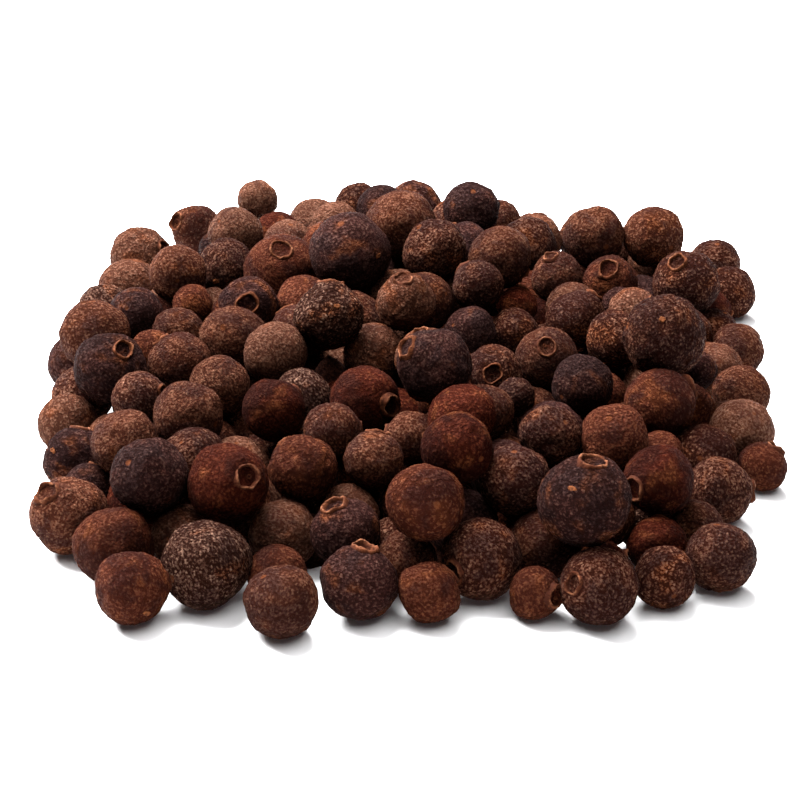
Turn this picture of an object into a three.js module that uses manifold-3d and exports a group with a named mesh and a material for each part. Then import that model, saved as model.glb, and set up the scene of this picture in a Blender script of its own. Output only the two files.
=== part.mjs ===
// A loose heap of dried allspice berries, lying a few deep on a flat surface.
// Units are millimetres, with +Z up and the origin on the surface under the middle of the heap.
// The heap is one solid: a low core with the berries fused on, each at its true size.

import * as THREE from "three";
import { mergeVertices } from "three/addons/utils/BufferGeometryUtils.js";
import Module from "manifold-3d";

const wasm = await Module();
wasm.setup();

// ---- Driving dimensions ----

// The berries that stand out, chosen by eye, as [right, back, diameter] from the middle of
// the heap. Each list is one layer, and runs from the front edge to the back edge.
const FLOOR_BERRIES = [
  [-27, -49, 7.5], [-12, -51, 7.5], [-4, -48, 8], [3, -49, 6.5], [13, -48, 5.5],
  [20, -49, 8], [27, -46, 6.5], [-20, -46, 9], [9, -44, 8.5], [33, -43, 7.5],
  [-29, -41, 8.5], [27, -40, 6.5], [-12, -39, 7.5], [-35, -35, 8.5], [34, -29, 7.5],
  [-36, -22, 7.5], [-37, -13, 7], [40, -5, 7], [-39, 3, 7], [-35, 24, 8],
  [42, 24, 7], [39, 13, 6], [-34, 33, 8.5], [42, 33, 7], [-28, 45, 7],
  [-28, 20, 7], [-28, 30, 6], [-21, 43, 6.5],
];
const SECOND_BERRIES = [
  [3, -43, 8], [18, -43, 9.5], [-18, -37, 8.5], [-27, -37, 8], [12, -36, 7.5],
  [27, -35, 7.5], [-10, -34, 7.5], [-3, -32, 6.5], [-29, -26, 7.5], [22, -26, 7.5],
  [-24, -23, 8], [17, -25, 7], [10, -21, 6.5], [29, -18, 8], [-4, -17, 8],
  [-11, -15, 7], [1, -25, 6], [10, -11, 7], [-32, -10, 8.5], [-26, -9, 7.5],
  [17, -6, 7.5], [-4, -5, 7.5], [-19, -4, 8], [-36, -2, 8.5], [25, -2, 7],
  [14, 3, 6], [21, 10, 6.5], [26, 15, 7], [36, 15, 8.5], [-15, 16, 9.5],
  [-22, 21, 7.5], [17, 26, 8], [25, 27, 8], [20, 17, 6.5], [-27, 2, 6.5],
  [33, 27, 8], [2, 39, 8], [-20, 46, 5.5], [-15, 29, 6.5], [-9, 33, 6.5],
  [13, 37, 6],
];
const TOP_BERRIES = [
  [6, -37, 7.5], [4, -19, 8.5], [30, -12, 9.5], [-8, -6, 8], [0, -2, 7],
  [9, 6, 6.5], [-6, 11, 10], [12, 12, 8], [4, 14, 8], [0, 21, 9],
  [9, 28, 7.5],
];
const LAYER_RISE = 5.3; // from the middle of one layer of berries to the middle of the next

// The other berries of a layer are drawn at random inside its outline, the largest first. The
// outline is an oval where the squareness is 2, and closer to a rectangle where it is more. A
// berry is left out where it would lie closer to another than this share of their radii.
const FLOOR_FILL = {
  middle: [1, -2], half: [38, 46.5], squareness: 3, tries: 5000, closeness: 0.8,
};
const SECOND_FILL = {
  middle: [0.5, -1], half: [34, 40], squareness: 2, tries: 2600, closeness: 0.86,
};
const FILL_LARGEST = 7.6;
const FILL_SMALLEST = 4.6;
const FILL_SPREAD = 0.4; // either way of the size that the order gives
const FILL_SEED = 106;

// How the berries settle until they touch.
const SETTLE_STEPS = 220;
const LAST_STEPS = 60; // of them, in which the berries only push each other apart
const HOLD = 0.08; // share of the way back to its own place that a berry is drawn in a step
const DROP = 0.1; // fall of a filling berry in a step
const SINK = 0.01; // fall of a chosen berry's place in a step
const STEADINESS = 0.08; // how much a chosen berry gives way, against 1 for a filling berry
const TOUCHING = 0.98; // distance between two berries that touch, as a share of their radii

// The faceted berries and the core under them. A filling berry is an icosahedron.
const CHOSEN_SIDES = [8, 4]; // round a chosen berry, and from stalk to crown
const CHOSEN_CORNERS = 1.05; // distance of its corners from its middle, in radii
const FILLING_CORNERS = 1.12; // the same for a filling berry
const SQUASH = [0.93, 1]; // thickness against width, from stalk to crown
const SHOWING_DEPTH = 2; // a filling berry whose middle is further into the core, in radii, is hidden
const CORE_RINGS = [0.75, 0.4]; // as shares of the way from the middle to the edge
const CORE_FOOT = 0.96; // the flat underside, as a share of the same
const CORE_COVER = 0.8; // from the average middle of the berries that show down to the core
const CORE_SMOOTHING = 9; // radius over which the berries' heights are averaged
const NEAR_FAVOUR = 2; // power of a berry's nearness in that average
const HIGH_FAVOUR = 3; // power of its height in it
const EDGE_WINDOW = 0.8; // how near a line to the edge passes to a berry that it meets, in radii
const SHAPE_SEED = 5;

const BERRY_BROWN = 0x4b2d20;

// ---- Seeded draws ----

const DRAW_FACTOR = 16807;
const DRAW_MODULUS = 2147483647;

function seededDraw(seed) {
  let state = seed;
  return (low, high) => {
    state = (state * DRAW_FACTOR) % DRAW_MODULUS;
    return low + (high - low) * (state / DRAW_MODULUS);
  };
}

// ---- Where the berries lie ----

function chosenBerries() {
  const layers = [FLOOR_BERRIES, SECOND_BERRIES, TOP_BERRIES];
  return layers.flatMap((layer, level) =>
    layer.map(([x, y, diameter]) => {
      const radius = diameter / 2;
      const z = radius + LAYER_RISE * level;
      return { x, y, z, radius, homeX: x, homeY: y, homeZ: z, give: STEADINESS, chosen: true };
    }),
  );
}

function outsideOutline(x, y, fill) {
  const u = Math.abs(x - fill.middle[0]) / fill.half[0];
  const v = Math.abs(y - fill.middle[1]) / fill.half[1];
  return u ** fill.squareness + v ** fill.squareness > 1;
}

function tooClose(x, y, z, radius, other, closeness) {
  const dx = x - other.x;
  const dy = y - other.y;
  const dz = z - other.z;
  const least = (radius + other.radius) * closeness;
  return dx * dx + dy * dy + dz * dz < least * least;
}

function fillLayer(berries, fill, level, draw) {
  const [middleX, middleY] = fill.middle;
  const [halfX, halfY] = fill.half;
  for (let k = 0; k < fill.tries; k++) {
    const x = draw(middleX - halfX, middleX + halfX);
    const y = draw(middleY - halfY, middleY + halfY);
    const share = k / fill.tries;
    const diameter =
      FILL_LARGEST - (FILL_LARGEST - FILL_SMALLEST) * share + draw(-FILL_SPREAD, FILL_SPREAD);
    const radius = diameter / 2;
    const z = radius + LAYER_RISE * level;
    if (outsideOutline(x, y, fill)) continue;
    if (berries.some((other) => tooClose(x, y, z, radius, other, fill.closeness))) continue;
    berries.push({ x, y, z, radius, homeX: x, homeY: y, homeZ: z, give: 1, chosen: false });
  }
}

function fallTowardsPlace(berry) {
  berry.x += (berry.homeX - berry.x) * HOLD;
  berry.y += (berry.homeY - berry.y) * HOLD;
  if (berry.chosen) {
    berry.z += (berry.homeZ - berry.z) * HOLD;
    berry.homeZ -= SINK;
  } else {
    berry.z -= DROP;
  }
}

function pushApart(p, q) {
  const dx = p.x - q.x;
  const reach = (p.radius + q.radius) * TOUCHING;
  if (dx > reach || dx < -reach) return;
  const dy = p.y - q.y;
  if (dy > reach || dy < -reach) return;
  const dz = p.z - q.z;
  const squared = dx * dx + dy * dy + dz * dz;
  if (squared >= reach * reach) return;
  const distance = Math.sqrt(squared);
  const push = (reach - distance) / (distance * (p.give + q.give));
  const pushP = push * p.give;
  const pushQ = push * q.give;
  p.x += dx * pushP;
  p.y += dy * pushP;
  p.z += dz * pushP;
  q.x -= dx * pushQ;
  q.y -= dy * pushQ;
  q.z -= dz * pushQ;
}

function settle(berries) {
  for (let step = 0; step < SETTLE_STEPS; step++) {
    if (step < SETTLE_STEPS - LAST_STEPS) berries.forEach(fallTowardsPlace);
    for (let i = 0; i < berries.length; i++) {
      for (let j = 0; j < i; j++) pushApart(berries[i], berries[j]);
    }
    for (const berry of berries) {
      if (berry.z < berry.radius) berry.z = berry.radius;
    }
  }
}

function centre(berries) {
  for (const axis of ["x", "y"]) {
    const low = Math.min(...berries.map((berry) => berry[axis] - berry.radius));
    const high = Math.max(...berries.map((berry) => berry[axis] + berry.radius));
    for (const berry of berries) berry[axis] -= (low + high) / 2;
  }
}

function heapOfBerries() {
  const berries = chosenBerries();
  const draw = seededDraw(FILL_SEED);
  fillLayer(berries, FLOOR_FILL, 0, draw);
  fillLayer(berries, SECOND_FILL, 1, draw);
  settle(berries);
  centre(berries);
  return berries;
}

// ---- Solids ----

function solidOf(geometry) {
  geometry.deleteAttribute("normal");
  geometry.deleteAttribute("uv");
  const merged = mergeVertices(geometry);
  return new wasm.Manifold(
    new wasm.Mesh({
      numProp: 3,
      vertProperties: merged.attributes.position.array,
      triVerts: new Uint32Array(merged.index.array),
    }),
  );
}

// A turn drawn evenly from all turns.
function anyTurn(draw) {
  const lean = draw(0, 1);
  const first = draw(0, 2 * Math.PI);
  const second = draw(0, 2 * Math.PI);
  return new THREE.Quaternion(
    Math.sqrt(1 - lean) * Math.sin(first),
    Math.sqrt(1 - lean) * Math.cos(first),
    Math.sqrt(lean) * Math.sin(second),
    Math.sqrt(lean) * Math.cos(second),
  );
}

// One berry, slightly flattened from stalk to crown, and flat where it meets the surface.
function berrySolid(berry, draw) {
  const thickness = draw(...SQUASH);
  const round = berry.chosen
    ? new THREE.SphereGeometry(berry.radius * CHOSEN_CORNERS, ...CHOSEN_SIDES)
    : new THREE.IcosahedronGeometry(berry.radius * FILLING_CORNERS);
  const geometry = round
    .scale(1, thickness, 1)
    .applyQuaternion(anyTurn(draw))
    .translate(berry.x, berry.y, berry.z);
  const corners = geometry.attributes.position;
  for (let i = 0; i < corners.count; i++) corners.setZ(i, Math.max(corners.getZ(i), 0));
  return solidOf(geometry);
}

// Whether no other berry lies further out on the line from the middle through this one.
function atEdge(berry, berries) {
  const out = Math.hypot(berry.x, berry.y);
  const [towardsX, towardsY] = [berry.x / out, berry.y / out];
  return !berries.some((other) => {
    const along = other.x * towardsX + other.y * towardsY;
    const across = Math.abs(other.y * towardsX - other.x * towardsY);
    return other !== berry && along > out && across < EDGE_WINDOW * other.radius;
  });
}

// The core's height over one place: an average of the berries near it that favours the high ones.
function coreHeight(berries, x, y) {
  let top = 0;
  let bottom = 0;
  for (const berry of berries) {
    const nearness = Math.max(0, 1 - Math.hypot(berry.x - x, berry.y - y) / CORE_SMOOTHING);
    const weight = nearness ** NEAR_FAVOUR * berry.z ** HIGH_FAVOUR;
    top += weight * berry.z;
    bottom += weight;
  }
  return top / bottom - CORE_COVER;
}

// The core is turned as a flat drum of radius 1 and height 1 with one sector for each berry
// round the edge, then drawn out to the middles of those berries.
function coreSolid(berries) {
  const edge = berries.filter((berry) => atEdge(berry, berries));
  edge.sort((a, b) => Math.atan2(a.y, a.x) - Math.atan2(b.y, b.x));
  const profile = [
    [0, 0], [CORE_FOOT, 0], [1, 1],
    ...CORE_RINGS.map((share) => [share, 1]),
    [0, 1],
  ].map(([share, height]) => new THREE.Vector2(share, height));
  const geometry = new THREE.LatheGeometry(profile, edge.length).rotateX(Math.PI / 2);
  const corners = geometry.attributes.position;
  for (let i = 0; i < corners.count; i++) {
    const outermost = edge[Math.floor(i / profile.length) % edge.length];
    const { x: share, y: height } = profile[i % profile.length];
    const [x, y] = [outermost.x * share, outermost.y * share];
    corners.setXYZ(i, x, y, height * coreHeight(berries, x, y));
  }
  return solidOf(geometry);
}

function shows(berry, berries) {
  const depth = coreHeight(berries, berry.x, berry.y) - berry.z;
  return berry.chosen || depth < SHOWING_DEPTH * berry.radius;
}

// The fused heap without loose scraps and without the hollows that fusing seals.
function largestBody(solid) {
  const bodies = solid.decompose();
  return bodies.reduce((best, body) => (body.volume() > best.volume() ? body : best));
}

function heapGeometry(berries) {
  const draw = seededDraw(SHAPE_SEED);
  const showing = berries.filter((berry) => shows(berry, berries));
  const fused = showing.reduce(
    (heap, berry) => heap.add(berrySolid(berry, draw)),
    coreSolid(berries),
  );
  const mesh = largestBody(fused).getMesh();
  const geometry = new THREE.BufferGeometry();
  geometry.setAttribute("position", new THREE.BufferAttribute(mesh.vertProperties, 3));
  geometry.setIndex(new THREE.BufferAttribute(mesh.triVerts, 1));
  geometry.computeBoundingBox();
  const middle = geometry.boundingBox.getCenter(new THREE.Vector3());
  return geometry.translate(-middle.x, -middle.y, -geometry.boundingBox.min.z);
}

// ---- The heap ----

const heap = new THREE.Group();
const berryHeap = new THREE.Mesh(
  heapGeometry(heapOfBerries()),
  new THREE.MeshStandardMaterial({ color: BERRY_BROWN, roughness: 0.85, metalness: 0 }),
);
berryHeap.name = "berry_heap";
heap.add(berryHeap);

export default heap;
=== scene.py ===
"""A loose heap of dried allspice berries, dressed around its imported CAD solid.

The berries settle by the same rule as in the part's source, so each lies where the solid has it.
The rule's lists and values are in millimetres. Everything that Blender sees is in metres.
"""

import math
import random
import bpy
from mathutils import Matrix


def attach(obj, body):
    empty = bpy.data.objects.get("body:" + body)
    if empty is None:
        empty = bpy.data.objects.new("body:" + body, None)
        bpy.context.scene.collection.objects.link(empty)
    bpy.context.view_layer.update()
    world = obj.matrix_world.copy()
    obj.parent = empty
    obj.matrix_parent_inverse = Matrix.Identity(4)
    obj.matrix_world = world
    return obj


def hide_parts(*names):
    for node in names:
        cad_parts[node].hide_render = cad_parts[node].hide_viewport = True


bl_info = {
    "name": "Allspice Berry Heap",
    "version": (1, 0, 0),
    "blender": (4, 5, 0),
    "location": "View3D > Sidebar > Allspice",
    "description": "Builds a heap of dried allspice berries around its CAD frame",
    "category": "Add Mesh",
}

import bmesh
import bpy
from mathutils import Matrix, Quaternion, Vector, noise

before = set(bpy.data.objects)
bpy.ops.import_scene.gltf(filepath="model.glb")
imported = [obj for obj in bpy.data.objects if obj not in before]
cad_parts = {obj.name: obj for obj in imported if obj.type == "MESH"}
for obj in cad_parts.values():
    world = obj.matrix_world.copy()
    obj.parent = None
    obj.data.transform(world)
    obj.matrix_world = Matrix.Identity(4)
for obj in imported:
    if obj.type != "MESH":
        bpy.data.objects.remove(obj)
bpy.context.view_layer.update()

MM = 0.001
BODY = "root"
HEAP_NODE = "berry_heap"

# ---- The berries that stand out ----

UMBER = "umber"
CHESTNUT = "chestnut"
RUST = "rust"
GARNET = "garnet"
PLUM = "plum"
ASH = "ash"
TAN = "tan"

# Each berry is (right, back, diameter, kind, crown, spot). Crown and spot say where the viewer
# sees the calyx and an orange scar on it, as shares of its radius to the right and up.
# The first three are the part's own values. Each list runs from the front edge to the back.
FLOOR_BERRIES = [
    (-27, -49, 7.5, RUST, None, (0.39, -0.69)),
    (-12, -51, 7.5, CHESTNUT, None, None),
    (-4, -48, 8, PLUM, (0.15, 0.95), None),
    (3, -49, 6.5, RUST, None, None),
    (13, -48, 5.5, RUST, (0.77, -0.07), None),
    (20, -49, 8, UMBER, (-0.69, 0.03), None),
    (27, -46, 6.5, UMBER, None, None),
    (-20, -46, 9, ASH, None, (-0.51, 0.62)),
    (9, -44, 8.5, UMBER, (-0.69, -0.36), None),
    (33, -43, 7.5, UMBER, None, None),
    (-29, -41, 8.5, RUST, None, None),
    (27, -40, 6.5, GARNET, None, None),
    (-12, -39, 7.5, TAN, None, None),
    (-35, -35, 8.5, CHESTNUT, (-0.54, 0.63), None),
    (34, -29, 7.5, UMBER, None, None),
    (-36, -22, 7.5, PLUM, None, (-0.71, 0.33)),
    (-37, -13, 7, TAN, None, None),
    (40, -5, 7, CHESTNUT, (-0.32, -0.77), None),
    (-39, 3, 7, PLUM, None, None),
    (-35, 24, 8, TAN, None, None),
    (42, 24, 7, UMBER, None, None),
    (39, 13, 6, UMBER, None, None),
    (-34, 33, 8.5, TAN, (0.85, 0.19), None),
    (42, 33, 7, UMBER, None, None),
    (-28, 45, 7, CHESTNUT, (-0.73, 0.32), None),
    (-28, 20, 7, TAN, None, None),
    (-28, 30, 6, UMBER, None, None),
    (-21, 43, 6.5, CHESTNUT, None, None),
]
SECOND_BERRIES = [
    (3, -43, 8, RUST, None, None),
    (18, -43, 9.5, PLUM, (0.15, 0.89), (-0.29, 0.26)),
    (-18, -37, 8.5, GARNET, (0.49, 0.15), None),
    (-27, -37, 8, PLUM, None, None),
    (12, -36, 7.5, UMBER, None, None),
    (27, -35, 7.5, GARNET, (-0.69, -0.29), None),
    (-10, -34, 7.5, RUST, None, None),
    (-3, -32, 6.5, CHESTNUT, None, None),
    (-29, -26, 7.5, CHESTNUT, None, None),
    (22, -26, 7.5, RUST, None, None),
    (-24, -23, 8, CHESTNUT, None, None),
    (17, -25, 7, UMBER, None, None),
    (10, -21, 6.5, CHESTNUT, None, None),
    (29, -18, 8, RUST, None, None),
    (-4, -17, 8, GARNET, (0.76, -0.17), None),
    (-11, -15, 7, ASH, (-0.88, -0.38), None),
    (1, -25, 6, CHESTNUT, None, None),
    (10, -11, 7, UMBER, (0.0, 0.05), None),
    (-32, -10, 8.5, PLUM, (0.42, 0.53), None),
    (-26, -9, 7.5, CHESTNUT, None, None),
    (17, -6, 7.5, CHESTNUT, (0.0, 0.37), None),
    (-4, -5, 7.5, TAN, None, None),
    (-19, -4, 8, CHESTNUT, None, None),
    (-36, -2, 8.5, CHESTNUT, None, None),
    (25, -2, 7, UMBER, None, None),
    (14, 3, 6, UMBER, None, None),
    (21, 10, 6.5, TAN, None, (0.44, 0.38)),
    (26, 15, 7, RUST, (-0.07, 0.5), None),
    (36, 15, 8.5, UMBER, (-0.3, 0.65), None),
    (-15, 16, 9.5, RUST, (0.0, 0.6), None),
    (-22, 21, 7.5, UMBER, None, (-0.38, -0.48)),
    (17, 26, 8, UMBER, None, None),
    (25, 27, 8, CHESTNUT, None, None),
    (20, 17, 6.5, CHESTNUT, (-0.27, 0.85), None),
    (-27, 2, 6.5, CHESTNUT, None, None),
    (33, 27, 8, CHESTNUT, None, None),
    (2, 39, 8, PLUM, None, None),
    (-20, 46, 5.5, TAN, None, None),
    (-15, 29, 6.5, TAN, None, None),
    (-9, 33, 6.5, TAN, None, None),
    (13, 37, 6, CHESTNUT, None, None),
]
TOP_BERRIES = [
    (6, -37, 7.5, GARNET, None, None),
    (4, -19, 8.5, PLUM, (-0.7, 0.49), None),
    (30, -12, 9.5, UMBER, None, (-0.08, 0.4)),
    (-8, -6, 8, ASH, None, (0.25, 0.35)),
    (0, -2, 7, TAN, (-0.05, 0.8), None),
    (9, 6, 6.5, UMBER, None, None),
    (-6, 11, 10, PLUM, None, (0.7, -0.1)),
    (12, 12, 8, CHESTNUT, None, None),
    (4, 14, 8, UMBER, None, None),
    (0, 21, 9, CHESTNUT, None, None),
    (9, 28, 7.5, PLUM, None, None),
]

# How much higher each layer starts than the one below.
LAYER_RISE = 5.3

# ---- The rule that places the other berries and settles the heap, as in the part ----

# Each is the layer's middle, half its width and depth, the power of its outline, how many
# places are tried, and the least distance to another berry as a share of their radii.
FLOOR_FILL = ((1, -2), (38, 46.5), 3, 5000, 0.8)
SECOND_FILL = ((0.5, -1), (34, 40), 2, 2600, 0.86)

# The added berries' diameters, from the first tries to the last.
FILL_LARGEST = 7.6
FILL_SMALLEST = 4.6
FILL_SPREAD = 0.4
FILL_SEED = 106

# In each step a berry moves by a share of the way to its place. A listed one also sinks a little
# and the others drop, and then those that pass through each other are pushed apart. A listed one
# gives way less. The last steps only push.
SETTLE_STEPS = 220
LAST_STEPS = 60
HOLD = 0.08
DROP = 0.1
SINK = 0.01
STEADINESS = 0.08
TOUCHING = 0.98

DRAW_FACTOR = 16807
DRAW_MODULUS = 2147483647

# How common each kind is among the berries that the rule adds.
FILL_KINDS = {
    UMBER: 0.22, CHESTNUT: 0.24, RUST: 0.12, GARNET: 0.07, PLUM: 0.14, ASH: 0.07, TAN: 0.14,
}

# ---- The viewer's place: how far from the lists' middle, how high, and the focal length ----

VIEW_DISTANCE = 273.6
VIEW_ELEVATION = math.radians(27)
VIEW_LENS = 101.6

LOOKS_SEED = 11


# ---- Where the berries lie ----


def seeded_draw(seed):
    """The part's own random draw."""
    state = seed

    def draw(low, high):
        nonlocal state
        state = (state * DRAW_FACTOR) % DRAW_MODULUS
        return low + (high - low) * (state / DRAW_MODULUS)

    return draw


class Berry:
    """One berry of the heap: where it settles, in millimetres, and what it looks like."""

    __slots__ = (
        "x", "y", "z", "radius", "home_x", "home_y", "home_z", "give", "chosen",
        "kind", "crown", "spot", "turn", "shape",
    )

    def __init__(self, x, y, diameter, level, chosen):
        self.radius = diameter / 2
        self.x = self.home_x = x
        self.y = self.home_y = y
        self.z = self.home_z = self.radius + LAYER_RISE * level
        self.give = STEADINESS if chosen else 1.0
        self.chosen = chosen
        self.kind = self.crown = self.spot = self.turn = self.shape = None

    @property
    def middle(self):
        return Vector((self.x, self.y, self.z))


def chosen_berries():
    """The listed berries, at the places where they start."""
    berries = []
    for level, layer in enumerate((FLOOR_BERRIES, SECOND_BERRIES, TOP_BERRIES)):
        for x, y, diameter, kind, crown, spot in layer:
            berry = Berry(x, y, diameter, level, True)
            berry.kind, berry.crown, berry.spot = kind, crown, spot
            berries.append(berry)
    return berries


def too_close(berry, other, closeness):
    """Whether two berries lie nearer than the given share of their radii."""
    dx = berry.x - other.x
    dy = berry.y - other.y
    dz = berry.z - other.z
    least = (berry.radius + other.radius) * closeness
    return dx * dx + dy * dy + dz * dz < least * least


def fill_layer(berries, fill, level, draw):
    """Adds berries to one layer, from large to small, wherever there is room."""
    (middle_x, middle_y), (half_x, half_y), power, tries, closeness = fill
    for number in range(tries):
        x = draw(middle_x - half_x, middle_x + half_x)
        y = draw(middle_y - half_y, middle_y + half_y)
        share = number / tries
        diameter = FILL_LARGEST - (FILL_LARGEST - FILL_SMALLEST) * share
        berry = Berry(x, y, diameter + draw(-FILL_SPREAD, FILL_SPREAD), level, False)
        wide = abs(x - middle_x) / half_x
        deep = abs(y - middle_y) / half_y
        if power == 3:
            outline = wide * wide * wide + deep * deep * deep
        else:
            outline = wide * wide + deep * deep
        if outline <= 1 and not any(too_close(berry, other, closeness) for other in berries):
            berries.append(berry)


def fall_towards_place(berry):
    """Moves a berry down and back to its place, a little in each step."""
    berry.x += (berry.home_x - berry.x) * HOLD
    berry.y += (berry.home_y - berry.y) * HOLD
    if berry.chosen:
        berry.z += (berry.home_z - berry.z) * HOLD
        berry.home_z -= SINK
    else:
        berry.z -= DROP


def push_apart(one, other):
    """Parts two berries that pass through each other, the steadier one less."""
    dx = one.x - other.x
    reach = (one.radius + other.radius) * TOUCHING
    if dx > reach or dx < -reach:
        return
    dy = one.y - other.y
    if dy > reach or dy < -reach:
        return
    dz = one.z - other.z
    squared = dx * dx + dy * dy + dz * dz
    if squared >= reach * reach:
        return
    distance = math.sqrt(squared)
    push = (reach - distance) / (distance * (one.give + other.give))
    push_one = push * one.give
    push_other = push * other.give
    one.x += dx * push_one
    one.y += dy * push_one
    one.z += dz * push_one
    other.x -= dx * push_other
    other.y -= dy * push_other
    other.z -= dz * push_other


def settle(berries):
    """Lets all the berries come to rest on the floor and on each other."""
    for step in range(SETTLE_STEPS):
        if step < SETTLE_STEPS - LAST_STEPS:
            for berry in berries:
                fall_towards_place(berry)
        for i, berry in enumerate(berries):
            for j in range(i):
                push_apart(berry, berries[j])
        for berry in berries:
            berry.z = max(berry.z, berry.radius)


def centre(berries):
    """Moves the heap's middle to the origin and returns where it was."""
    was = []
    for axis in ("x", "y"):
        low = min(getattr(berry, axis) - berry.radius for berry in berries)
        high = max(getattr(berry, axis) + berry.radius for berry in berries)
        was.append((low + high) / 2)
        for berry in berries:
            setattr(berry, axis, getattr(berry, axis) - was[-1])
    return was


def heap_of_berries():
    """The settled berries and the viewer's place, both from the middle of the heap."""
    berries = chosen_berries()
    draw = seeded_draw(FILL_SEED)
    fill_layer(berries, FLOOR_FILL, 0, draw)
    fill_layer(berries, SECOND_FILL, 1, draw)
    settle(berries)
    middle_x, middle_y = centre(berries)
    aim = Vector((-middle_x, -middle_y, 0))
    away = Vector((0, -math.cos(VIEW_ELEVATION), math.sin(VIEW_ELEVATION)))
    return berries, aim, aim + away * VIEW_DISTANCE


# ---- What each berry looks like ----

# How a berry departs from a ball, as shares of its radius: the range or the choices that each
# berry draws from, and the scales of the noise that shapes it.
PATTERN_SPREAD = 50
THICKNESS = (0.91, 1)
LUMP = (0.04, 0.1)
LUMP_SCALE = 1.15
DENT = (0.02, 0.045)
DENT_SCALE = 2.6
FLAT_COUNT = 3
FLAT_LEVEL = (0.92, 0.99)
FLAT_SHARE = 0.7
WRINKLE = (0.004, 0.012, 0.012, 0.022, 0.035)
WRINKLE_SCALE = 2.6
WRINKLE_SQUEEZE = 1.9
WRINKLE_WIDTH = 0.12
POINT = (0, 0, 0, 0.06, 0.12)
GRAIN = (0.5, 1)
GRAIN_SCALE = 8.5

# The hollow at the crown, the raised ring round it and the hollow at the stalk. A spread goes
# with the square of the distance from the axis.
CROWN_HOLLOW = 0.09
CROWN_SPREAD = 0.07
SHOULDER = 0.022
SHOULDER_PLACE = 0.45
SHOULDER_SPREAD = 0.03
STALK_HOLLOW = 0.035
STALK_SPREAD = 0.016

# How many of the added berries may show their crown, and the range of tone of the listed ones.
SHOWN_CROWNS = 0.25
LEAST_TONE = 0.3
TONE_RANGE = 0.4


class Shape:
    """How one berry departs from a ball, and its tone."""

    def __init__(self, draw):
        self.shift = Vector([draw.uniform(-PATTERN_SPREAD, PATTERN_SPREAD) for _ in range(3)])
        self.thickness = draw.uniform(*THICKNESS)
        self.lump = draw.uniform(*LUMP)
        self.dent = draw.uniform(*DENT)
        self.flats = [
            (any_direction(draw), draw.uniform(*FLAT_LEVEL)) for _ in range(FLAT_COUNT)
        ]
        self.wrinkle = draw.choice(WRINKLE)
        self.point = draw.choice(POINT)
        self.grain = draw.uniform(*GRAIN)
        self.tone = [draw.random() for _ in range(3)]

    def at(self, way, grain_relief):
        """The skin in one direction from the middle, with the crown at +Z and the stalk at -Z."""
        place = way + self.shift
        out = 1 + self.lump * noise.noise(place * LUMP_SCALE)
        for flat, level in self.flats:
            over = out * way.dot(flat) - level
            if over > 0:
                out -= FLAT_SHARE * over
        out += self.dent * noise.noise(place * DENT_SCALE)
        squeezed = Vector((way.x, way.y, way.z * WRINKLE_SQUEEZE))
        line = abs(noise.noise(squeezed * WRINKLE_SCALE + self.shift))
        out -= self.wrinkle * max(0, 1 - line / WRINKLE_WIDTH)
        if grain_relief:
            out += grain_relief * self.grain * noise.noise(place * GRAIN_SCALE)
        across = way.x * way.x + way.y * way.y
        if way.z > 0:
            out -= CROWN_HOLLOW * math.exp(-across / CROWN_SPREAD)
            past = math.sqrt(across) - SHOULDER_PLACE
            out += SHOULDER * math.exp(-(past**2) / SHOULDER_SPREAD)
        else:
            out -= STALK_HOLLOW * math.exp(-across / STALK_SPREAD)
        stretch = self.thickness * (1 + self.point * max(0, way.z) ** 3)
        return Vector((way.x * out, way.y * out, way.z * out * stretch))


def any_direction(draw):
    """A unit vector drawn evenly from all directions."""
    z = draw.uniform(-1, 1)
    around = draw.uniform(0, 2 * math.pi)
    across = math.sqrt(1 - z * z)
    return Vector((across * math.cos(around), across * math.sin(around), z))


def as_seen(berry, seen, viewer):
    """The direction from a berry's middle to the place that the viewer sees there."""
    towards = (viewer - berry.middle).normalized()
    right = Vector((0, 0, 1)).cross(towards).normalized()
    up = towards.cross(right)
    across, along = seen
    depth = math.sqrt(max(0, 1 - across * across - along * along))
    return (right * across + up * along + towards * depth).normalized()


def crown_direction(berry, viewer, draw):
    """Where the crown points: as listed, and otherwise mostly out of the viewer's sight."""
    drawn = any_direction(draw)
    shown_anyway = draw.random() < SHOWN_CROWNS
    if berry.crown:
        return as_seen(berry, berry.crown, viewer)
    in_sight = drawn.dot(viewer - berry.middle) > 0
    if in_sight and (berry.chosen or not shown_anyway):
        return -drawn
    return drawn


def dress(berries, viewer):
    """Gives each berry its kind, turn and shape."""
    draw = random.Random(LOOKS_SEED)
    kinds, weights = zip(*FILL_KINDS.items())
    for berry in berries:
        berry.shape = Shape(draw)
        drawn_kind = draw.choices(kinds, weights)[0]
        if berry.chosen:
            berry.shape.tone[0] = LEAST_TONE + TONE_RANGE * berry.shape.tone[0]
        berry.kind = berry.kind or drawn_kind
        spin = draw.uniform(0, 2 * math.pi)
        direction = crown_direction(berry, viewer, draw)
        berry.turn = direction.to_track_quat("Z", "Y") @ Quaternion((0, 0, 1), spin)


_heap = {}


def heap():
    """The settled and dressed berries, worked out once."""
    if not _heap:
        berries, aim, viewer = heap_of_berries()
        dress(berries, viewer)
        _heap.update(berries=berries, aim=aim, viewer=viewer)
    return _heap


# ---- Meshes of the berries ----

# How often a ball's faces are split, for a listed berry and for one that the rule adds.
CHOSEN_DETAIL = 5
FILL_DETAIL = 4

# What a vertex carries for the materials: its place in the skin's pattern, its berry's tone, how
# near the crown it lies, and how high it stands on a rim.
PLACE_LAYER = "skin_place"
TONE_LAYER = "berry_tone"
CROWN_LAYER = "crown_side"
RIM_LAYER = "rim_height"


def join(whole, part):
    """Adds one small mesh to the mesh of a whole piece."""
    mesh = bpy.data.meshes.new("part")
    part.to_mesh(mesh)
    part.free()
    whole.from_mesh(mesh)
    bpy.data.meshes.remove(mesh)


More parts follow.
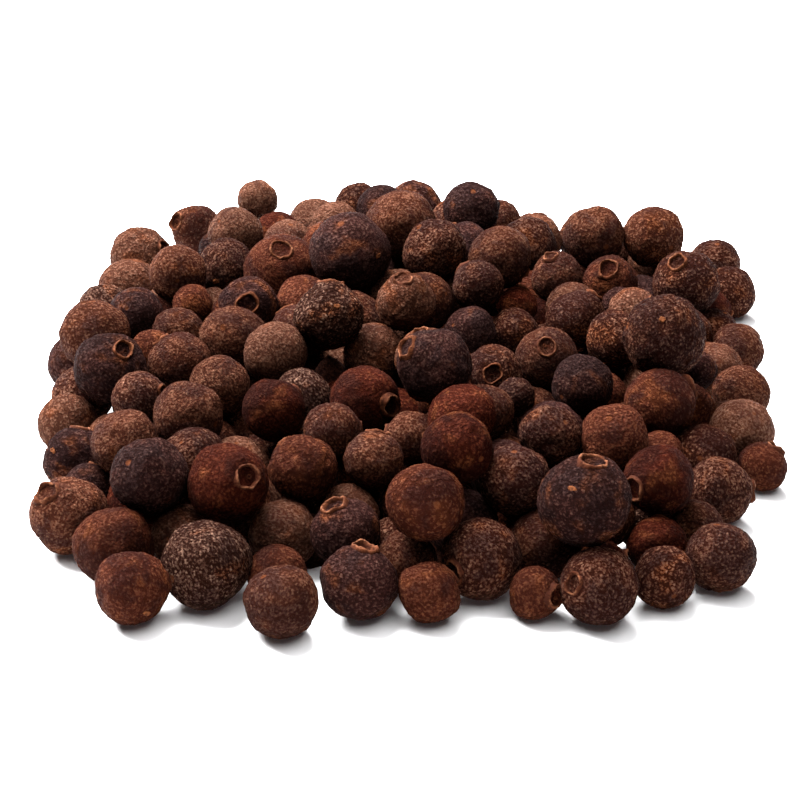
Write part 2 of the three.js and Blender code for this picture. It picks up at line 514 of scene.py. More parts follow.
def lift_by(bm, height):
    bmesh.ops.translate(bm, verts=bm.verts, vec=(0, 0, height))


def ball(detail):
    """A unit ball with the layers that the skin's material reads."""
    bm = bmesh.new()
    bmesh.ops.create_icosphere(bm, subdivisions=detail, radius=1)
    bm.verts.layers.float_vector.new(PLACE_LAYER)
    bm.verts.layers.float_color.new(TONE_LAYER)
    bm.verts.layers.float.new(CROWN_LAYER)
    return bm


def grown_berry(berry, unit_ball, grain_relief):
    """One berry. In the floor layer it is let down until it touches the floor."""
    bm = unit_ball.copy()
    place_layer = bm.verts.layers.float_vector[PLACE_LAYER]
    tone_layer = bm.verts.layers.float_color[TONE_LAYER]
    crown_layer = bm.verts.layers.float[CROWN_LAYER]
    tone = Vector((*berry.shape.tone, 1))
    for vert in bm.verts:
        way = vert.co.normalized()
        local = berry.shape.at(way, grain_relief)
        vert[place_layer] = local * berry.radius + berry.shape.shift
        vert[tone_layer] = tone
        vert[crown_layer] = way.z
        vert.co = (berry.turn @ local * berry.radius + berry.middle) * MM
    lowest = min(vert.co.z for vert in bm.verts)
    if berry.z <= berry.radius or lowest < 0:
        lift_by(bm, -lowest)
    return bm


def object_of(bm, name, material):
    """A finished piece that rides on the heap's body and stands for the CAD heap."""
    mesh = bpy.data.meshes.new(name)
    bm.to_mesh(mesh)
    bm.free()
    mesh.shade_smooth()
    mesh.materials.append(material)
    piece = bpy.data.objects.new(name, mesh)
    bpy.context.scene.collection.objects.link(piece)
    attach(piece, BODY)
    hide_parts(HEAP_NODE)


# ---- Meshes of the calyxes and scars ----

# The calyx in section, from its middle out and back under the skin, as [out, up] in shares of
# the rim's radius. The plain one has few points, for the many that hardly show.
CALYX_SECTION = [
    (0, -0.16), (0.07, -0.14), (0.12, -0.02), (0.18, -0.04), (0.24, -0.18), (0.45, -0.24),
    (0.66, -0.16), (0.77, 0.06), (0.83, 0.2), (0.91, 0.27), (0.99, 0.2), (1.06, 0.03),
    (1.13, -0.1), (1.13, -0.25), (0.9, -0.55), (0, -0.6),
]
PLAIN_SECTION = [(0, -0.15), (0.7, -0.1), (0.84, 0.25), (1, 0.2), (1.1, -0.3), (0, -0.4)]
SCAR_SECTION = [(0, 0.02), (0.25, 0.1), (0.6, 0.16), (0.85, 0.08), (1.15, -0.15), (0, -0.4)]
CALYX_SIDES = 28
PLAIN_SIDES = 12
SAME_POINT = 1e-5

# A calyx's size as a share of the usual one, and the radius of the berry that has the usual one.
RIM_SIZES = (0.85, 1.15)
USUAL_RADIUS = 3.75

# How a rim departs from a turned one, as shares of its radius, and the scales of the noise. Its
# four lobes are the sepals. The style is the small stub in the middle, which leans to one side.
CALYX_OVAL = 0.08
CALYX_UNEVEN = 0.14
SCAR_OVAL = 0.25
SCAR_UNEVEN = 0.5
UNEVEN_SCALE = 1.9
LOBES = 4
LOBE_WIDTH = 0.03
LOBE_HEIGHT = 0.15
NICK = 0.035
NICK_SCALE = 5
TEAR = 1.1
TEAR_SCALE = 1.6
LEAST_HEIGHT = 0.15
INSIDE = 0.7
INSIDE_LUMP = 0.16
INSIDE_SCALE = 4
STYLE = 0.3
STYLE_LEAN = 0.8
RIM_SHIFT = 10

# Added to the heights that a scar carries, so that the material can tell it from a calyx.
SCAR_MARK = 2


def turned_shell(section, sides):
    """A section turned about the axis into one closed shell."""
    bm = bmesh.new()
    bm.verts.layers.float.new(RIM_LAYER)
    verts = [bm.verts.new((out, 0, up)) for out, up in section]
    edges = [bm.edges.new(pair) for pair in zip(verts, verts[1:])]
    bmesh.ops.spin(
        bm, geom=verts + edges, cent=(0, 0, 0), axis=(0, 0, 1), angle=2 * math.pi,
        steps=sides, use_merge=True,
    )
    bmesh.ops.remove_doubles(bm, verts=bm.verts, dist=SAME_POINT)
    bmesh.ops.recalc_face_normals(bm, faces=bm.faces)
    return bm


def seated_rim(berry, axis, rim, shell, draw, oval, uneven, mark):
    """A turned shell of the radius rim, set on the berry's skin and made uneven."""
    rim_layer = shell.verts.layers.float[RIM_LAYER]
    shift = any_direction(draw) * RIM_SHIFT
    first = draw.uniform(0, 2 * math.pi)
    own = berry.turn.inverted() @ axis
    beside = own.orthogonal().normalized() * (rim / berry.radius)
    seat = berry.shape.at((own + beside).normalized(), 0).dot(own) * berry.radius
    turn = axis.to_track_quat("Z", "Y")
    for vert in shell.verts:
        x, y, z = vert.co
        vert[rim_layer] = z + mark
        around = math.atan2(y, x)
        lobe = math.cos(LOBES * around - first)
        wide = 1 + oval * math.cos(2 * around + first) + LOBE_WIDTH * lobe
        wide += uneven * noise.noise(Vector((x, y, z)) * UNEVEN_SCALE + shift)
        wide += NICK * noise.noise(Vector((x, y, z)) * NICK_SCALE - shift)
        tall = 1
        if z > 0:
            tall += LOBE_HEIGHT * lobe
            tear = TEAR * noise.noise(Vector((x, y, 0)) * TEAR_SCALE - shift)
            tall = max(LEAST_HEIGHT, tall + tear)
        local = Vector((x * wide, y * wide, z * tall))
        if mark == 0 and math.hypot(x, y) < INSIDE:
            local.z += INSIDE_LUMP * noise.noise(Vector((x, y, 0)) * INSIDE_SCALE + shift)
        if math.hypot(x, y) < STYLE:
            local += Vector((math.cos(first), math.sin(first), 0)) * STYLE * STYLE_LEAN
        local *= rim
        vert.co = (turn @ local + axis * seat + berry.middle) * MM
    lowest = min(vert.co.z for vert in shell.verts)
    if lowest < 0:
        lift_by(shell, -lowest)
    return shell


def calyx_of(berry, usual_rim, viewer, draw):
    """The calyx at a berry's crown, finer where it faces the viewer."""
    crown = berry.turn @ Vector((0, 0, 1))
    rim = usual_rim * draw.uniform(*RIM_SIZES) * (berry.radius / USUAL_RADIUS) ** 0.5
    if crown.dot(viewer - berry.middle) > 0:
        shell = turned_shell(CALYX_SECTION, CALYX_SIDES)
    else:
        shell = turned_shell(PLAIN_SECTION, PLAIN_SIDES)
    return seated_rim(berry, crown, rim, shell, draw, CALYX_OVAL, CALYX_UNEVEN, 0)


def scar_of(berry, rim, viewer, draw):
    """The small raised scar where the list has one."""
    spot = as_seen(berry, berry.spot, viewer)
    shell = turned_shell(SCAR_SECTION, PLAIN_SIDES)
    return seated_rim(berry, spot, rim, shell, draw, SCAR_OVAL, SCAR_UNEVEN, SCAR_MARK)


# ---- Materials ----

# How much of a kind's skin is pale with specks, and how much is dark with patches.
SPECK_SHARES = {
    UMBER: 0.8, CHESTNUT: 0.6, RUST: 0.45, GARNET: 0.4, PLUM: 0.55, ASH: 1.0, TAN: 0.5,
}
PATCH_SHARES = {
    UMBER: 0.5, CHESTNUT: 0.5, RUST: 0.4, GARNET: 0.45, PLUM: 0.6, ASH: 0.35, TAN: 0.3,
}

# Shares and edges of the skin's pattern, which is laid out in millimetres on each berry.
SKIN_STRETCH = (1, 1, 1.2)
WOBBLE = (0.34, 0.34, 0.34)
GRAIN_WEIGHT = 0.58
PEBBLE_WEIGHT = 0.42
MOTTLE_WEIGHT = 0.7
CREASE_MOST = 0.34
PATCH_EDGE = 0.76
PATCH_REACH = 0.4
PATCH_VARIETY = 0.14
PATCH_RAGGED = 0.08
PATCH_SOFTNESS = 0.18
BLUSH_EDGE = 0.62
BLUSH_VARIETY = 0.16
BLUSH_SOFTNESS = 0.2
BLUSH_MOST = 0.75
SPECKS_HIDDEN = 0.5

# How far old calyxes darken, and the depth in metres of the grain on calyxes and core. Their
# patterns are laid out in metres too, so the scales are large.
OLD_CALYXES = 0.75
CALYX_GRAIN = 0.0001
CORE_GRAIN = 0.0005


class Wiring:
    """Adds nodes to one tree and joins them."""

    def __init__(self, tree):
        self.tree = tree

    def add(self, kind, inputs=None, **settings):
        """A node of one kind, whose inputs are each set or linked to a socket."""
        node = self.tree.nodes.new(kind)
        for name, value in settings.items():
            setattr(node, name, value)
        for key, value in (inputs or {}).items():
            if isinstance(value, bpy.types.NodeSocket):
                self.tree.links.new(value, node.inputs[key])
            else:
                node.inputs[key].default_value = value
        return node

    def math(self, operation, *values):
        return self.add("ShaderNodeMath", dict(enumerate(values)), operation=operation).outputs[0]

    def vector_math(self, operation, *values):
        inputs = dict(enumerate(values))
        return self.add("ShaderNodeVectorMath", inputs, operation=operation).outputs[0]

    def attribute(self, layer, output):
        return self.add("ShaderNodeAttribute", attribute_name=layer).outputs[output]

    def noise(self, vector, scale, detail, roughness, distortion=0.0):
        inputs = {
            "Vector": vector, "Scale": scale, "Detail": detail, "Roughness": roughness,
            "Distortion": distortion,
        }
        return self.add("ShaderNodeTexNoise", inputs).outputs

    def cells(self, vector, scale, feature="F1"):
        inputs = {"Vector": vector, "Scale": scale}
        return self.add("ShaderNodeTexVoronoi", inputs, feature=feature).outputs

    def ramp(self, value, low, high, to_low=0.0, to_high=1.0):
        """A smooth step of the value between low and high."""
        inputs = {
            "Value": value, "From Min": low, "From Max": high, "To Min": to_low, "To Max": to_high,
        }
        return self.add("ShaderNodeMapRange", inputs, interpolation_type="SMOOTHSTEP").outputs[0]

    def mix(self, share, first, second, blend="MIX"):
        inputs = {0: share, 6: first, 7: second}
        return self.add("ShaderNodeMix", inputs, data_type="RGBA", blend_type=blend).outputs[2]


def group_with(name, inputs, outputs):
    """An empty shader group with named sockets, and its wiring."""
    tree = bpy.data.node_groups.new(name, "ShaderNodeTree")
    for socket, kind, default in inputs:
        made = tree.interface.new_socket(socket, in_out="INPUT", socket_type=kind)
        made.default_value = default
    for socket, kind in outputs:
        tree.interface.new_socket(socket, in_out="OUTPUT", socket_type=kind)
    wiring = Wiring(tree)
    return wiring, wiring.add("NodeGroupInput").outputs, wiring.add("NodeGroupOutput").inputs


def skin_grain(wiring, place, warm):
    """The grain and the relief of the skin: pebbles, mottles and creases."""
    stretched = wiring.vector_math("MULTIPLY", place, SKIN_STRETCH)
    fine = wiring.noise(stretched, scale=3.1, detail=4.0, roughness=0.72)
    wobbly = wiring.vector_math("MULTIPLY_ADD", fine["Color"], WOBBLE, stretched)
    cells = wiring.cells(wobbly, scale=2.5)
    chance = wiring.add("ShaderNodeSeparateColor", {"Color": cells["Color"]}).outputs[0]
    pebble = wiring.ramp(cells["Distance"], low=0.66, high=0.1)
    grain = wiring.ramp(fine["Fac"], low=0.34, high=0.66)
    mottle = wiring.noise(place, scale=0.9, detail=2.0, roughness=0.6)["Fac"]
    folds = wiring.cells(wobbly, scale=0.85, feature="DISTANCE_TO_EDGE")["Distance"]
    creased = wiring.ramp(warm, low=0.25, high=1.0, to_high=CREASE_MOST)
    creases = wiring.math("MULTIPLY", wiring.ramp(folds, low=0.16, high=0.0), creased)

    grain_part = wiring.math("MULTIPLY", grain, GRAIN_WEIGHT)
    height = wiring.math("ADD", grain_part, wiring.math("MULTIPLY", pebble, PEBBLE_WEIGHT))
    raised = wiring.math("ADD", height, wiring.math("MULTIPLY", mottle, MOTTLE_WEIGHT))
    return stretched, grain, chance, wiring.math("SUBTRACT", raised, creases)


def dried_skin_group():
    """Pebbled dried skin in the berry's own frame: its colour, roughness and relief."""
    wiring, given, out = group_with(
        "Dried skin",
        [
            # The first colour is the skin's own dark together with painted shade, laid in the
            # grain's hollows and at the crown.
            ("Hollow", "NodeSocketColor", (0.01, 0.005, 0.004, 1)),
            ("Skin", "NodeSocketColor", (0.05, 0.02, 0.01, 1)),
            # The speck colour is pale flecks together with painted highlights on the raised grain.
            ("Speck", "NodeSocketColor", (0.2, 0.1, 0.05, 1)),
            ("Patch", "NodeSocketColor", (0.03, 0.02, 0.02, 1)),
            ("Blush", "NodeSocketColor", (0.2, 0.06, 0.02, 1)),
            ("Speck Share", "NodeSocketFloat", 0.5),
            ("Patch Share", "NodeSocketFloat", 0.4),
        ],
        [
            ("Colour", "NodeSocketColor"),
            ("Roughness", "NodeSocketFloat"),
            ("Height", "NodeSocketFloat"),
        ],
    )
    place = wiring.attribute(PLACE_LAYER, "Vector")
    tone = wiring.attribute(TONE_LAYER, "Color")
    crown = wiring.attribute(CROWN_LAYER, "Fac")
    light, patchy, warm = wiring.add("ShaderNodeSeparateColor", {"Color": tone}).outputs
    stretched, grain, chance, raised = skin_grain(wiring, place, warm)

    # Orange blushes and dark patches, whose edges differ from berry to berry.
    glow = wiring.noise(stretched, scale=0.34, detail=1.0, roughness=0.5, distortion=0.3)["Fac"]
    blush_low = wiring.math("SUBTRACT", BLUSH_EDGE, wiring.math("MULTIPLY", warm, BLUSH_VARIETY))
    blush_high = wiring.math("ADD", blush_low, BLUSH_SOFTNESS)
    blush = wiring.ramp(glow, blush_low, blush_high, to_high=BLUSH_MOST)
    skin = wiring.mix(blush, given["Skin"], given["Blush"])
    cloud = wiring.noise(place, scale=0.26, detail=2.0, roughness=0.5, distortion=0.5)["Fac"]
    ragged = wiring.math("ADD", cloud, wiring.math("MULTIPLY", grain, PATCH_RAGGED))
    reach = wiring.math("MULTIPLY", given["Patch Share"], PATCH_REACH)
    patch_low = wiring.math("SUBTRACT", PATCH_EDGE, reach)
    variety = wiring.math("MULTIPLY", patchy, PATCH_VARIETY)
    patch_low = wiring.math("SUBTRACT", patch_low, variety)
    patch = wiring.ramp(ragged, patch_low, wiring.math("ADD", patch_low, PATCH_SOFTNESS))
    skin = wiring.mix(patch, skin, given["Patch"])

    # Pale specks on what is raised, fewer on the patches, and dark hollows between. The specks are
    # partly the skin's own pale flecks and partly painted highlights on the raised grain. The
    # hollows are partly the skin's own dark and partly painted shade between the grains.
    specks = wiring.ramp(raised, low=0.76, high=1.2)
    specks = wiring.math("MULTIPLY", specks, given["Speck Share"])
    chances = wiring.ramp(chance, low=0.2, high=0.9, to_low=0.3)
    specks = wiring.math("MULTIPLY", specks, chances)
    fewer = wiring.math("SUBTRACT", 1.0, wiring.math("MULTIPLY", patch, SPECKS_HIDDEN))
    skin = wiring.mix(wiring.math("MULTIPLY", specks, fewer), skin, given["Speck"])
    depth = wiring.ramp(given["Speck Share"], low=0.2, high=1.0, to_low=0.6, to_high=0.95)
    hollows = wiring.math("MULTIPLY", wiring.ramp(raised, low=0.88, high=0.56), depth)
    skin = wiring.mix(hollows, skin, given["Hollow"])

    # Each berry's own tone, painted shade darkening the hollow crown round the calyx, and the paler
    # stalk end.
    bright = wiring.ramp(light, low=0.0, high=1.0, to_low=0.82, to_high=1.2)
    grey = wiring.add("ShaderNodeCombineColor", {0: bright, 1: bright, 2: bright}).outputs[0]
    skin = wiring.mix(1.0, skin, grey, "MULTIPLY")
    crown_shade = wiring.ramp(crown, low=0.9, high=0.98, to_high=0.5)
    skin = wiring.mix(crown_shade, skin, given["Hollow"])
    at_stalk = wiring.ramp(crown, low=-0.993, high=-0.998, to_high=0.6)
    skin = wiring.mix(at_stalk, skin, given["Blush"])

    roughness = wiring.ramp(raised, low=0.4, high=1.0, to_low=0.9, to_high=0.7)
    wiring.tree.links.new(skin, out["Colour"])
    wiring.tree.links.new(roughness, out["Roughness"])
    wiring.tree.links.new(raised, out["Height"])
    return wiring.tree


def new_material(name):
    """An empty material and its wiring."""
    material = bpy.data.materials.new(name)
    material.use_nodes = True
    material.node_tree.nodes.clear()
    return material, Wiring(material.node_tree)


def finish_material(wiring, surface, height, strength, depth):
    """Gives a material's surface its bump, and puts out the surface."""
    principled = wiring.add("ShaderNodeBsdfPrincipled", surface)
    bump = wiring.add(
        "ShaderNodeBump", {"Height": height, "Strength": strength, "Distance": depth}
    )
    wiring.tree.links.new(bump.outputs["Normal"], principled.inputs["Normal"])
    wiring.add("ShaderNodeOutputMaterial", {"Surface": principled.outputs["BSDF"]})


def skin_material(kind, settings):
    """The dried skin of one kind of berry."""
    material, wiring = new_material(f"Skin of {kind} berries")
    skin = wiring.add(
        "ShaderNodeGroup", node_tree=bpy.data.node_groups.get("Dried skin") or dried_skin_group()
    )
    for name in ("Hollow", "Skin", "Speck", "Patch"):
        colour = getattr(settings.colours, f"{kind}_{name.lower()}")
        skin.inputs[name].default_value = (*colour, 1)
    skin.inputs["Blush"].default_value = (*settings.colours.blush, 1)
    skin.inputs["Speck Share"].default_value = SPECK_SHARES[kind]
    skin.inputs["Patch Share"].default_value = PATCH_SHARES[kind]
    surface = {
        "Base Color": skin.outputs["Colour"],
        "Roughness": skin.outputs["Roughness"],
        "Specular IOR Level": 0.01,
    }
    height = skin.outputs["Height"]
    finish_material(wiring, surface, height, strength=1.0, depth=settings.bump_depth)
    return material


def calyx_material(colours):
    """Dry papery rims: pale along the edge, partly as a painted highlight, dark inside, partly as
    painted shade in the cup, with fine fibres.
    """
    material, wiring = new_material("Dry calyx")
    young, pale = (*colours.calyx, 1), (*colours.calyx_pale_and_highlight, 1)
    old, dark = (*colours.calyx_old, 1), (*colours.calyx_dark_and_shade, 1)
    place = wiring.add("ShaderNodeTexCoord").outputs["Object"]
    height = wiring.attribute(RIM_LAYER, "Fac")
    fibres = wiring.noise(place, scale=3000.0, detail=3.0, roughness=0.6, distortion=0.5)["Fac"]
    clouds = wiring.noise(place, scale=900.0, detail=2.0, roughness=0.5)["Fac"]
    ages = wiring.noise(place, scale=120.0, detail=0.0, roughness=0.5)["Fac"]

    # Below the rim the calyx is its own brown darkened with painted shade, inside the cup.
    colour = wiring.mix(wiring.ramp(height, low=0.0, high=0.13), dark, young)
    age = wiring.ramp(ages, low=0.35, high=0.62)
    colour = wiring.mix(wiring.math("MULTIPLY", age, OLD_CALYXES), colour, old)
    lumpy = wiring.ramp(clouds, low=0.52, high=0.66)
    inside = wiring.ramp(height, low=0.1, high=-0.05)
    colour = wiring.mix(wiring.math("MULTIPLY", lumpy, inside), colour, young)
    # The top of the rim is pale: partly a dry edge, partly a painted highlight.
    edge = wiring.ramp(height, low=0.14, high=0.25)
    worn = wiring.ramp(clouds, low=0.4, high=0.66)
    colour = wiring.mix(wiring.math("MULTIPLY", edge, worn), colour, pale)
    scar = wiring.ramp(height, low=SCAR_MARK / 2, high=SCAR_MARK / 2 + 0.1)
    colour = wiring.mix(scar, colour, (*colours.scar, 1))
    between = wiring.ramp(fibres, low=0.52, high=0.36, to_high=0.8)
    colour = wiring.mix(between, colour, dark)
    surface = {"Base Color": colour, "Roughness": 0.85, "Specular IOR Level": 0.02}
    finish_material(wiring, surface, fibres, strength=0.9, depth=CALYX_GRAIN)
    return material


def core_material(colours):
    """What shows deep between the berries: their undersides, darkened with painted shade, with a
    coarse grain.
    """
    material, wiring = new_material("Depth of the heap")
    place = wiring.add("ShaderNodeTexCoord").outputs["Object"]
    grain = wiring.noise(place, scale=2600.0, detail=3.0, roughness=0.66)["Fac"]
    share = wiring.ramp(grain, low=0.38, high=0.66)
    colour = wiring.mix(share, (*colours.core_dark_and_shade, 1), (*colours.core, 1))
    surface = {"Base Color": colour, "Roughness": 0.95, "Specular IOR Level": 0.02}
    finish_material(wiring, surface, grain, strength=1.0, depth=CORE_GRAIN)
    return material


# ---- Settings ----


def colour_setting(name, default):
    return bpy.props.FloatVectorProperty(
        name=name, description=f"{name}, as linear red, green and blue", default=default,
        subtype="COLOR", min=0, max=1, size=3,
    )


def length_setting(name, description, default):
    return bpy.props.FloatProperty(
        name=name, description=description, default=default, unit="LENGTH", subtype="DISTANCE",
        min=0, precision=5,
    )


class AllspiceColours(bpy.types.PropertyGroup):
    """The colours of each kind of skin, of the calyxes, the core and the stage"""

    # The first colour of each kind is its own dark together with painted shade, laid in the grain's
    # hollows and at the crown.
    umber_hollow: colour_setting("Umber hollows", (0.0105, 0.002, 0.0009))
    umber_skin: colour_setting("Umber skin", (0.05, 0.0166, 0.0094))
    # The speck colours are pale flecks together with painted highlights on the raised grain.
    umber_speck: colour_setting("Umber specks", (0.155, 0.075, 0.047))
    umber_patch: colour_setting("Umber patches", (0.0215, 0.008, 0.0063))
    chestnut_hollow: colour_setting("Chestnut hollows", (0.0155, 0.003, 0.0013))
    chestnut_skin: colour_setting("Chestnut skin", (0.068, 0.0223, 0.0117))
    chestnut_speck: colour_setting("Chestnut specks", (0.172, 0.079, 0.046))
    chestnut_patch: colour_setting("Chestnut patches", (0.03, 0.0108, 0.0078))
    rust_hollow: colour_setting("Rust hollows", (0.0125, 0.002, 0.0009))
    rust_skin: colour_setting("Rust skin", (0.054, 0.014, 0.0066))
    rust_speck: colour_setting("Rust specks", (0.135, 0.05, 0.0245))
    rust_patch: colour_setting("Rust patches", (0.0235, 0.007, 0.0048))
    garnet_hollow: colour_setting("Garnet hollows", (0.0095, 0.0011, 0.0004))
    garnet_skin: colour_setting("Garnet skin", (0.038, 0.0069, 0.0029))
    garnet_speck: colour_setting("Garnet specks", (0.105, 0.03, 0.012))
    garnet_patch: colour_setting("Garnet patches", (0.0165, 0.0036, 0.0021))
    plum_hollow: colour_setting("Plum hollows", (0.0058, 0.0015, 0.001))
    plum_skin: colour_setting("Plum skin", (0.029, 0.0098, 0.0077))
    plum_speck: colour_setting("Plum specks", (0.1, 0.05, 0.037))
    plum_patch: colour_setting("Plum patches", (0.0165, 0.0068, 0.0063))
    ash_hollow: colour_setting("Ash hollows", (0.01, 0.0026, 0.0013))
    ash_skin: colour_setting("Ash skin", (0.042, 0.017, 0.011))
    ash_speck: colour_setting("Ash specks", (0.165, 0.09, 0.061))
    ash_patch: colour_setting("Ash patches", (0.025, 0.0104, 0.008))
    tan_hollow: colour_setting("Tan hollows", (0.023, 0.0056, 0.0026))
    tan_skin: colour_setting("Tan skin", (0.086, 0.034, 0.0198))
    tan_speck: colour_setting("Tan specks", (0.19, 0.1, 0.065))
    tan_patch: colour_setting("Tan patches", (0.042, 0.0165, 0.0112))
    blush: colour_setting("Orange blush", (0.11, 0.031, 0.011))
    scar: colour_setting("Scar", (0.075, 0.024, 0.009))
    calyx: colour_setting("Calyx", (0.044, 0.0128, 0.005))
    calyx_old: colour_setting("Old calyx", (0.022, 0.006, 0.0032))
    # The calyx inside: its own brown together with painted shade in the cup.
    calyx_dark_and_shade: colour_setting("Calyx inside", (0.011, 0.0026, 0.001))
    # The calyx edge: a pale dry edge together with a painted highlight.
    calyx_pale_and_highlight: colour_setting("Calyx edge", (0.092, 0.035, 0.017))
    # The core's colours are berry brown darkened with painted shade, for the undersides deep in the
    # heap.
    core: colour_setting("Core", (0.022, 0.0072, 0.0042))
    core_dark_and_shade: colour_setting("Core hollows", (0.006, 0.0015, 0.0008))
    floor: colour_setting("Floor", (0.9, 0.9, 0.91))
    glow: colour_setting("Glow of the floor", (1.0, 0.78, 0.8))
    sky: colour_setting("Light all round", (1.0, 1.0, 1.0))


class AllspiceSettings(bpy.types.PropertyGroup):
    """The sizes and the light that a user would change"""

    colours: bpy.props.PointerProperty(type=AllspiceColours, name="Colours")
    bump_depth: length_setting("Skin grain", "Depth of the fine grain of the skin", 0.00062)
    grain_relief: bpy.props.FloatProperty(
        name="Skin relief", description="Relief of the coarse grain, as a share of the radius",
        default=0.03, min=0, max=0.1,
    )
    calyx_rim: length_setting("Calyx rim", "Radius of the rim of a calyx", 0.0013)
    scar_rim: length_setting("Scar rim", "Radius of the rim of a scar", 0.00036)
    key_power: bpy.props.FloatProperty(
        name="Softbox power", description="Power of the softbox behind the heap", default=34.5,
        min=0, unit="POWER",
    )
    fill_power: bpy.props.FloatProperty(
        name="Fill power", description="Power of the weaker softbox over the heap", default=2.7,
        min=0, unit="POWER",
    )
    key_size: length_setting("Softbox size", "Width of the softboxes", 0.5)
    sky_strength: bpy.props.FloatProperty(
        name="Light all round", description="Strength of the light from all round", default=0.03,
        min=0,
    )


# ---- The core ----

# Half its width and depth, how far it stays below the berries' middles, and how widely it
# follows them, in millimetres.
CORE_HALF = (31, 38)
CORE_COVER = 3.4
CORE_SMOOTHING = 8
CORE_DETAIL = 6

# The bumps that stand for a layer of berries below, and the scalloped edge.
CORE_PITCH = 6.2
CORE_ROW = 0.87
CORE_SCALLOPS = 16
CORE_SCALLOP_DEPTH = 0.07


def core_bump(x, y):
    """The height of the dome over one place, as if another layer of berries lay below."""
    row = round(y / (CORE_PITCH * CORE_ROW))
    column = round(x / CORE_PITCH - row / 2)
    radius = CORE_PITCH / 2
    away = math.hypot(x - (column + row / 2) * CORE_PITCH, y - row * CORE_PITCH * CORE_ROW)
    return math.sqrt(max(0, radius * radius - away * away))


def core_place(x, y, z, berries, aim):
    """Where a point of a unit ball goes on the core: a low mound under the berries."""
    around = math.atan2(y, x)
    across = min(1, math.hypot(x, y))
    wide, deep = abs(math.cos(around)), abs(math.sin(around))
    edge = ((wide / CORE_HALF[0]) ** 3 + (deep / CORE_HALF[1]) ** 3) ** (-1 / 3)
    edge *= 1 - CORE_SCALLOP_DEPTH * (1 - abs(math.sin(CORE_SCALLOPS * around)))
    share = math.asin(across) / (math.pi / 2)
    plan_x = math.cos(around) * edge * share + FLOOR_FILL[0][0] + aim.x
    plan_y = math.sin(around) * edge * share + FLOOR_FILL[0][1] + aim.y
    if z <= 0:
        return Vector((plan_x, plan_y, 0))
    weights = heights = 0
    for berry in berries:
        near = 1 - math.hypot(berry.x - plan_x, berry.y - plan_y) / CORE_SMOOTHING
        if near > 0:
            weights += near * near
            heights += near * near * berry.z
    top = heights / weights - CORE_COVER + core_bump(plan_x, plan_y) if weights else 0
    return Vector((plan_x, plan_y, max(0, top) * (1 - share**4)))


# ---- The stage ----

# In metres. The strong softbox stands behind the heap at the left, and the weak one over its front.
FLOOR_SIZE = 0.8
KEY_PLACE = Vector((-0.16, 0.2, 0.36))
FILL_PLACE = Vector((0.03, -0.1, 0.42))
CLIP_START = 0.01
SENSOR_WIDTH = 36
FLOOR_GLOW = 0.02


def add_floor(colours):
    """A pale square that the heap lies on."""
    material, wiring = new_material("White table")
    surface = {
        "Base Color": (*colours.floor, 1),
        "Roughness": 0.8,
        "Specular IOR Level": 0.2,
        "Emission Color": (*colours.glow, 1),
        "Emission Strength": FLOOR_GLOW,
    }
    principled = wiring.add("ShaderNodeBsdfPrincipled", surface)
    wiring.add("ShaderNodeOutputMaterial", {"Surface": principled.outputs["BSDF"]})
    bm = bmesh.new()
    bmesh.ops.create_grid(bm, x_segments=2, y_segments=2, size=FLOOR_SIZE / 2)
    mesh = bpy.data.meshes.new("floor")
    bm.to_mesh(mesh)
    bm.free()
    mesh.materials.append(material)
    floor = bpy.data.objects.new("floor", mesh)
    bpy.context.scene.collection.objects.link(floor)


def add_light(name, place, size, power):
    """A round softbox that faces the heap."""
    light = bpy.data.lights.new(name, "AREA")
    light.shape = "DISK"
    light.size = size
    light.energy = power
    lamp = bpy.data.objects.new(name, light)
    lamp.location = place
    lamp.rotation_euler = place.to_track_quat("Z", "Y").to_euler()
    bpy.context.scene.collection.objects.link(lamp)


def add_sky(scene, settings):
    """A weak light from all round, which looks white behind the floor."""
    world = bpy.data.worlds.new("Light tent")
    world.use_nodes = True
    background = world.node_tree.nodes["Background"]
    background.inputs["Color"].default_value = (*settings.colours.sky, 1)
    wiring = Wiring(world.node_tree)
    in_camera = wiring.add("ShaderNodeLightPath").outputs["Is Camera Ray"]
    weak = settings.sky_strength
    strength = wiring.math("MULTIPLY_ADD", in_camera, 1 - weak, weak)
    wiring.tree.links.new(strength, background.inputs["Strength"])
    scene.world = world


def add_camera(scene):
    """The camera at the photograph's viewing angle."""
    data = bpy.data.cameras.new("viewer")
    data.lens = VIEW_LENS
    data.sensor_width = SENSOR_WIDTH
    data.clip_start = CLIP_START
    camera = bpy.data.objects.new("viewer", data)
    viewer, aim = heap()["viewer"], heap()["aim"]
    turn = (viewer - aim).to_track_quat("Z", "Y").to_matrix().to_4x4()
    camera.matrix_world = Matrix.Translation(viewer * MM) @ turn
    scene.collection.objects.link(camera)
    scene.camera = camera


# ---- Operators ----


class ALLSPICE_OT_stage(bpy.types.Operator):
    """Add the pale floor, the soft light and the camera"""

    bl_idname = "allspice.stage"
    bl_label = "Stage"

    def execute(self, context):
        scene = context.scene
        settings = scene.allspice
        add_floor(settings.colours)
        add_light("softbox", KEY_PLACE, settings.key_size, settings.key_power)
        add_light("fill", FILL_PLACE, settings.key_size, settings.fill_power)
        add_sky(scene, settings)
        add_camera(scene)
        scene.view_settings.view_transform = "Standard"
        return {"FINISHED"}


class ALLSPICE_OT_core(bpy.types.Operator):
    """Add the core, dark with painted shade, that closes the gaps between the berries"""

    bl_idname = "allspice.core"
    bl_label = "Core"

    def execute(self, context):
        berries, aim = heap()["berries"], heap()["aim"]
        bm = bmesh.new()
        bmesh.ops.create_icosphere(bm, subdivisions=CORE_DETAIL, radius=1)
        for vert in bm.verts:
            vert.co = core_place(*vert.co, berries, aim) * MM
        object_of(bm, "core", core_material(context.scene.allspice.colours))
        return {"FINISHED"}


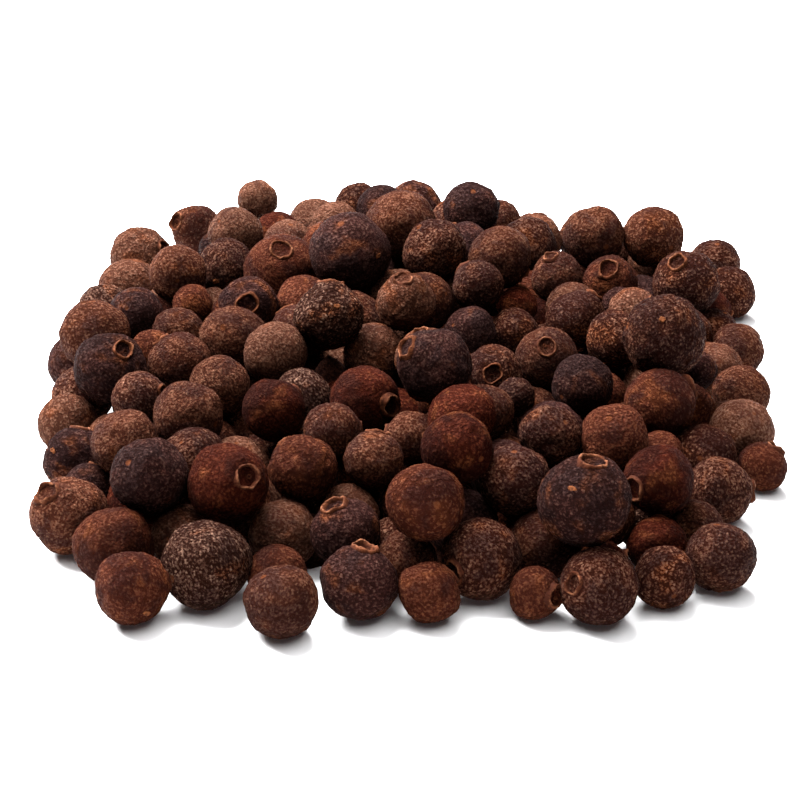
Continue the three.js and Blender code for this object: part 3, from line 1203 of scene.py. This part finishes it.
class ALLSPICE_OT_berries(bpy.types.Operator):
    """Add the berries, as one piece for each kind of skin"""

    bl_idname = "allspice.berries"
    bl_label = "Berries"

    def execute(self, context):
        settings = context.scene.allspice
        fine, plain = ball(CHOSEN_DETAIL), ball(FILL_DETAIL)
        for kind in FILL_KINDS:
            bm = bmesh.new()
            for berry in heap()["berries"]:
                if berry.kind == kind:
                    unit_ball = fine if berry.chosen else plain
                    join(bm, grown_berry(berry, unit_ball, settings.grain_relief))
            object_of(bm, f"berries_{kind}", skin_material(kind, settings))
        fine.free()
        plain.free()
        return {"FINISHED"}


class ALLSPICE_OT_calyxes(bpy.types.Operator):
    """Add the dry calyx at each crown and the scars that show"""

    bl_idname = "allspice.calyxes"
    bl_label = "Calyxes"

    def execute(self, context):
        settings = context.scene.allspice
        viewer = heap()["viewer"]
        draw = random.Random(LOOKS_SEED + 1)
        bm = bmesh.new()
        for berry in heap()["berries"]:
            join(bm, calyx_of(berry, settings.calyx_rim / MM, viewer, draw))
            if berry.spot:
                join(bm, scar_of(berry, settings.scar_rim / MM, viewer, draw))
        object_of(bm, "calyx_rims", calyx_material(settings.colours))
        return {"FINISHED"}


class ALLSPICE_PT_heap(bpy.types.Panel):
    """The heap's steps and settings"""

    bl_label = "Allspice heap"
    bl_idname = "ALLSPICE_PT_heap"
    bl_space_type = "VIEW_3D"
    bl_region_type = "UI"
    bl_category = "Allspice"

    def draw(self, context):
        for operator in OPERATORS:
            self.layout.operator(operator.bl_idname)
        settings = context.scene.allspice
        for name in settings.__annotations__:
            if name != "colours":
                self.layout.prop(settings, name)
        for name in settings.colours.__annotations__:
            self.layout.prop(settings.colours, name)


OPERATORS = (
    ALLSPICE_OT_stage, ALLSPICE_OT_core, ALLSPICE_OT_berries, ALLSPICE_OT_calyxes,
)
CLASSES = (AllspiceColours, AllspiceSettings, *OPERATORS, ALLSPICE_PT_heap)


def register():
    for cls in CLASSES:
        bpy.utils.register_class(cls)
    bpy.types.Scene.allspice = bpy.props.PointerProperty(type=AllspiceSettings)


def unregister():
    del bpy.types.Scene.allspice
    for cls in reversed(CLASSES):
        bpy.utils.unregister_class(cls)


def main():
    """Builds the stage and the pieces."""
    register()
    bpy.ops.allspice.stage()
    bpy.ops.allspice.core()
    bpy.ops.allspice.berries()
    bpy.ops.allspice.calyxes()


if __name__ == "__main__":
    main()
